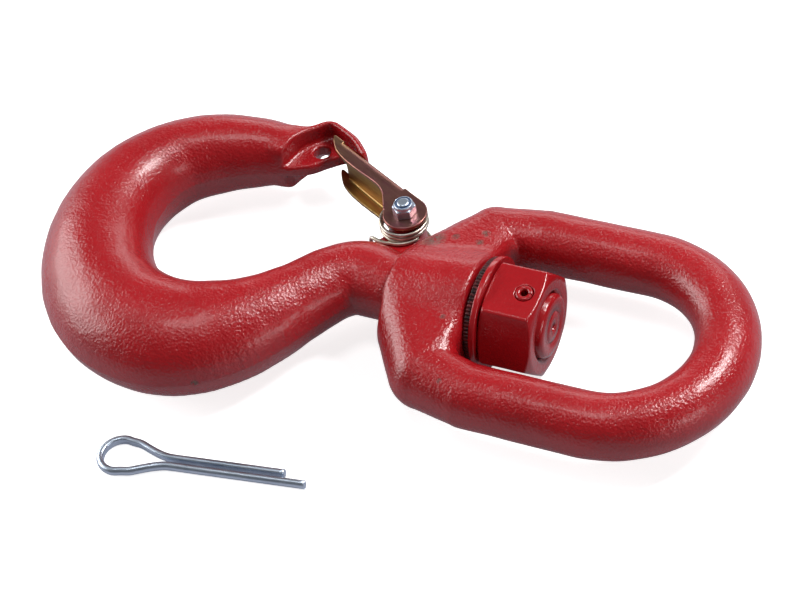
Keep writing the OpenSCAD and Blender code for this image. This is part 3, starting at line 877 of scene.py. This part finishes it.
put(surface_object("latch_channel", latch_field, (-ear_r, -ear_r, latch_low[2]),
                   (latch_len, ear_r, latch_high[2]), 0.4 * coarse, latch_place),
    yellow, "latch_set", "yellow_zinc", "latch")
put(surface_object("pivot_bolt", bolt_field, (-6, -6, bolt_low[2]), (6, 6, bolt_high[2]),
                   0.22 * coarse, latch_place), bright, "latch_set", "bright_zinc", "latch_bolt")
put(surface_object("locking_nut", m6_nut_field, (-6, -6, m6_low[2]), (6, 6, m6_high[2]),
                   0.2 * coarse, latch_place), bright, "latch_set", "bright_zinc", "latch_nut")
put(surface_object("locking_insert", insert_field, (-4, -4, insert_low[2]), (4, 4, insert_high[2]),
                   0.15 * coarse, latch_place),
    nylon("blue_nylon"), "latch_set", "blue_nylon", "latch_nut_insert")

for name, side in (("spring_upper", 1), ("spring_lower", -1)):
    half = wire_object(name, spring_half(side), round_section(wire_r), (0, 0, 1), end_round=0.05)
    half.data.materials.append(spring_zinc)
    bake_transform(half)
    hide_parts("latch_spring")

pin_place = Matrix.Translation((*pin_centre, floor_z + pin_h / 2)) @ Matrix.Rotation(pin_turn, 4, "Z")
cotter = wire_object("split_pin", placed(pin_path(), pin_place), pin_section(),
                     pin_place.to_3x3() @ Vector((0, -1, 0)), end_round=0.3)
put(cotter, bright, "loose_pin", "bright_zinc", "cotter_pin")


# ---------------------------------------------------------------- floor, light and camera
def build_stage():
    """A plain floor. It is white to the camera, but to all other rays, which light the object or show in
    its gloss, its base is 0.3 instead of 0.8 and its glow is floor_glow alone."""
    floor_glow, floor_glow_seen = 0.17, 0.63
    mesh = bpy.data.meshes.new("floor")
    s = 6.0
    z = floor_z * MM - 0.0002
    mesh.from_pydata([(-s, -s, z), (s, -s, z), (s, s, z), (-s, s, z)], [], [(0, 1, 2, 3)])
    floor = bpy.data.objects.new("floor", mesh)
    bpy.context.scene.collection.objects.link(floor)
    mat, tree, shader = material("pale_floor")
    place = node(tree, "ShaderNodeTexCoord").outputs["Object"]
    shader.inputs["Roughness"].default_value = 0.9
    seen = node(tree, "ShaderNodeLightPath").outputs["Is Camera Ray"]
    pale = ramp(tree, noise(tree, place, 3, 2), (0.3, 0.8), (0.7, 0.82))
    tree.links.new(mix_colour(tree, seen, (0.3, 0.3, 0.33), pale), shader.inputs["Base Color"])
    tree.links.new(mix_colour(tree, seen, (0.9, 0.88, 1.0), (1.0, 1.0, 1.0)), shader.inputs["Emission Color"])
    glow = maths(tree, "ADD", floor_glow, maths(tree, "MULTIPLY", seen, floor_glow_seen))
    tree.links.new(glow, shader.inputs["Emission Strength"])
    mesh.materials.append(mat)


def area_light(name, spot, target, size, size_y, power):
    data = bpy.data.lights.new(name, "AREA")
    data.shape = "RECTANGLE"
    data.size, data.size_y = size, size_y
    data.energy = power
    light = bpy.data.objects.new(name, data)
    bpy.context.scene.collection.objects.link(light)
    light.location = spot
    light.rotation_euler = (Vector(target) - Vector(spot)).to_track_quat("-Z", "Y").to_euler()


def build_light():
    world = bpy.data.worlds.new("studio")
    bpy.context.scene.world = world
    world.use_nodes = True
    background = world.node_tree.nodes["Background"]
    background.inputs[0].default_value = (0.95, 0.97, 1, 1)
    background.inputs[1].default_value = 0.11
    middle = Vector((-0.1, 0, 0))
    for name, way, away, size, size_y, power in (
            ("key_softbox", (0.45, 0.42, 0.79), 1.5, 0.5, 0.4, 24),
            ("right_panel", (0.95, -0.3, 0.22), 1.4, 0.5, 0.35, 3),
            ("left_panel", (-0.93, -0.08, 0.38), 1.4, 1.3, 0.8, 17),
            ("back_panel", (-0.2, 0.93, 0.3), 1.6, 1.2, 0.4, 4),
            ("overhead", (-0.1, -0.1, 0.99), 1.8, 0.5, 0.5, 6)):
        area_light(name, middle + Vector(way).normalized() * away, middle, size, size_y, power)


def build_camera():
    """Eye at its place in the frame, turned by its right, up and back directions."""
    data = bpy.data.cameras.new("camera")
    camera = bpy.data.objects.new("camera", data)
    bpy.context.scene.collection.objects.link(camera)
    data.sensor_width = 36
    data.lens = 96.3
    azimuth, elevation, roll = math.radians(32.64), math.radians(46.08), math.radians(11.78)
    back = Vector((math.sin(azimuth) * math.cos(elevation), -math.cos(azimuth) * math.cos(elevation),
                   math.sin(elevation)))
    turn = back.to_track_quat("Z", "Y").to_matrix()
    camera.matrix_world = Matrix.Translation((0.26338, -0.57797, 0.7069)) @ (
        turn @ Matrix.Rotation(-roll, 3, "Z")).to_4x4()
    data.clip_start, data.clip_end = 0.05, 50
    bpy.context.scene.camera = camera


build_stage()
build_light()
build_camera()
bpy.context.scene.view_settings.view_transform = "Standard"
